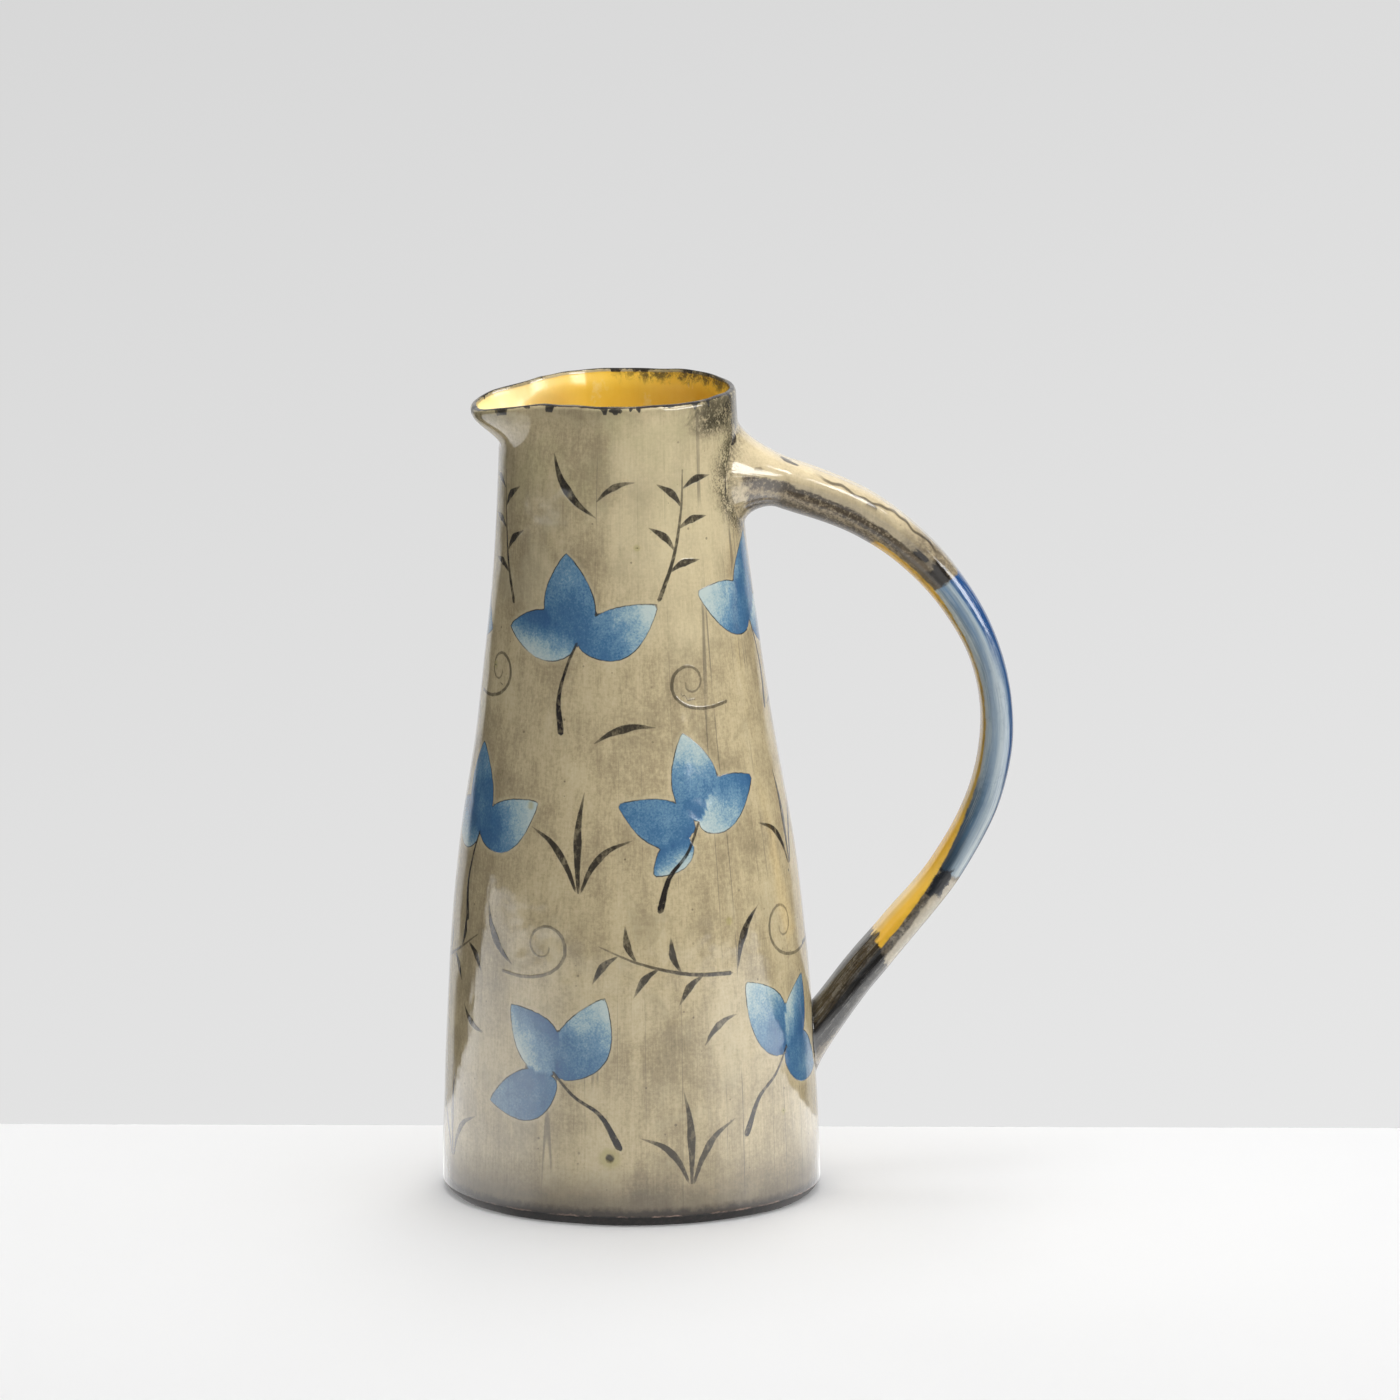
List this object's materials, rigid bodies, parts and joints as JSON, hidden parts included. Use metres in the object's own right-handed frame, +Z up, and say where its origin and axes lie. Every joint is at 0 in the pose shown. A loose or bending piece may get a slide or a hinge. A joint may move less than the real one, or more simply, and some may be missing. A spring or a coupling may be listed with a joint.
{
  "type": "ewer",
  "caption": "Tall tapered glazed ceramic ewer with a pinched pouring lip, a looped strap handle on a flared root, and a flat base to stand on.",
  "frame": {"origin": "centre of the flat underside, on the table", "axes": "+Z up, +X towards the handle, -X towards the pouring lip, +Y to the left of someone looking along +X"},
  "size_m": [0.1761, 0.1166, 0.2505],
  "materials": {
    "stone_glaze": "clear gloss glaze over brushed stone-coloured slip with oxide speckle",
    "yellow_glaze": "clear gloss glaze over golden yellow slip",
    "blue_glaze": "clear gloss glaze over brushed blue slip, fading pale along the ridge",
    "bare_clay": "unglazed fired clay, fine grained"
  },
  "bodies": {
    "root": {"body_wall": "stone_glaze", "base_slab": "bare_clay", "base_seam_coil": "yellow_glaze", "pouring_lip": "stone_glaze", "handle_strap": "blue_glaze", "handle_upper_root": "stone_glaze", "handle_lower_root": "stone_glaze"}
  },
  "joints": []
}
